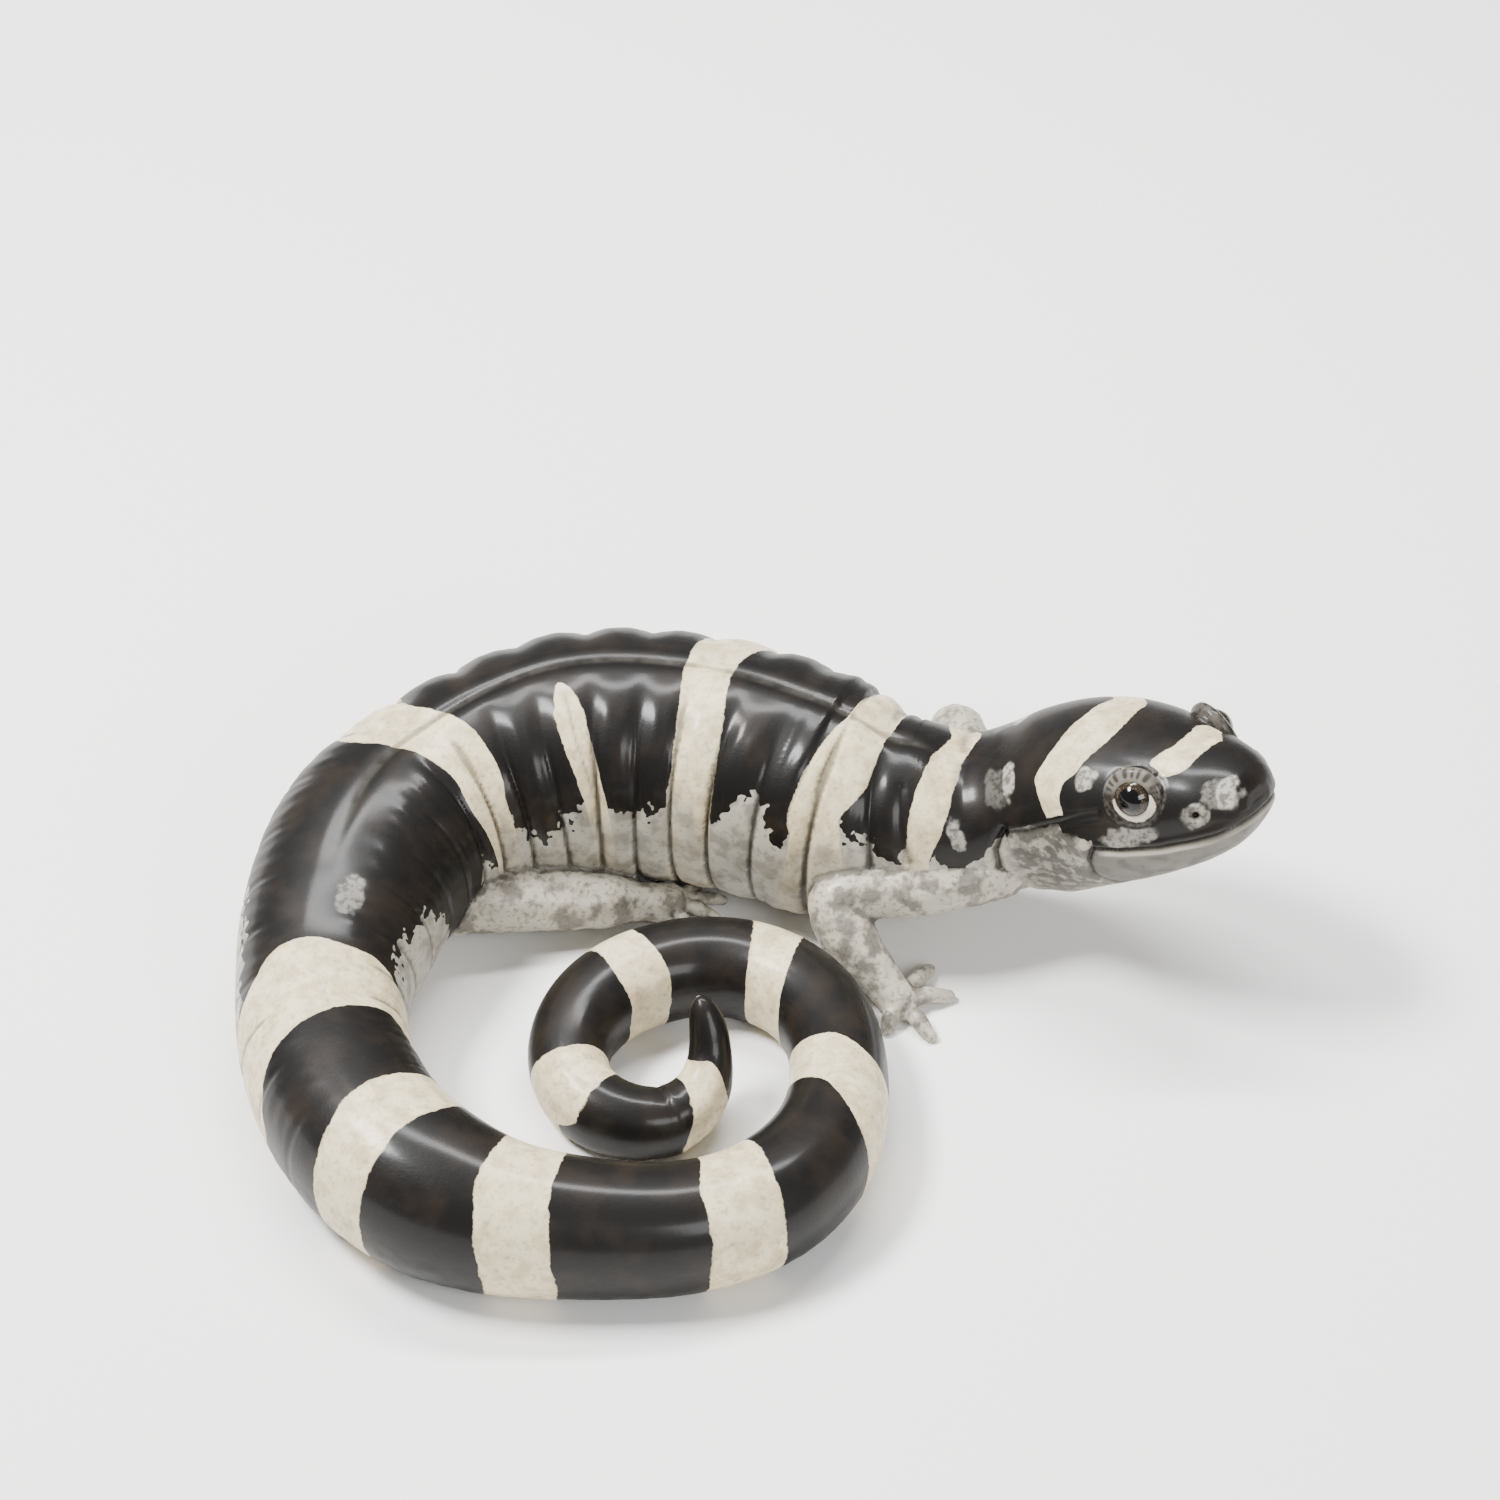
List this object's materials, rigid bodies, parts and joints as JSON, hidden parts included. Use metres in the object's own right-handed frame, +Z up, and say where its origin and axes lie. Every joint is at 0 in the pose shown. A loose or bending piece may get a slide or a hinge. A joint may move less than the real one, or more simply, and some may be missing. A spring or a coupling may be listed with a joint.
{
  "type": "ringed salamander",
  "caption": "Life-size still model of a ringed salamander at rest, tail coiled beside it and head raised, dark with pale rings.",
  "frame": {"origin": "on the floor under the middle of the animal's whole outline", "axes": "+X along the longer side of the outline, towards the head; +Z up"},
  "size_m": [0.0798, 0.0668, 0.0234],
  "materials": {
    "skin": "moist glossy skin, brown-black with pale straw rings",
    "pale_skin": "moist skin, pale grey-cream with grey mottling",
    "eye": "dark glossy eye"
  },
  "bodies": {
    "root": {"head": "skin", "neck": "skin", "torso_chest": "skin", "torso_front": "skin", "torso_middle": "skin", "torso_rear": "skin", "pelvis": "skin", "vent": "skin", "tail_root": "skin", "tail_2": "skin", "tail_3": "skin", "tail_4": "skin", "tail_5": "skin", "tail_6": "skin", "tail_7": "skin", "tail_8": "skin", "tail_9": "skin", "tail_10": "skin", "tail_tip": "skin", "lower_jaw": "pale_skin", "upper_arm_right": "pale_skin", "forearm_right": "pale_skin", "hand_right": "pale_skin", "thigh_right": "pale_skin", "shank_right": "pale_skin", "foot_right": "pale_skin", "upper_arm_left": "pale_skin", "forearm_left": "pale_skin", "hand_left": "pale_skin", "thigh_left": "pale_skin", "shank_left": "pale_skin", "foot_left": "pale_skin", "eye_right": "eye", "eye_left": "eye"}
  },
  "joints": []
}
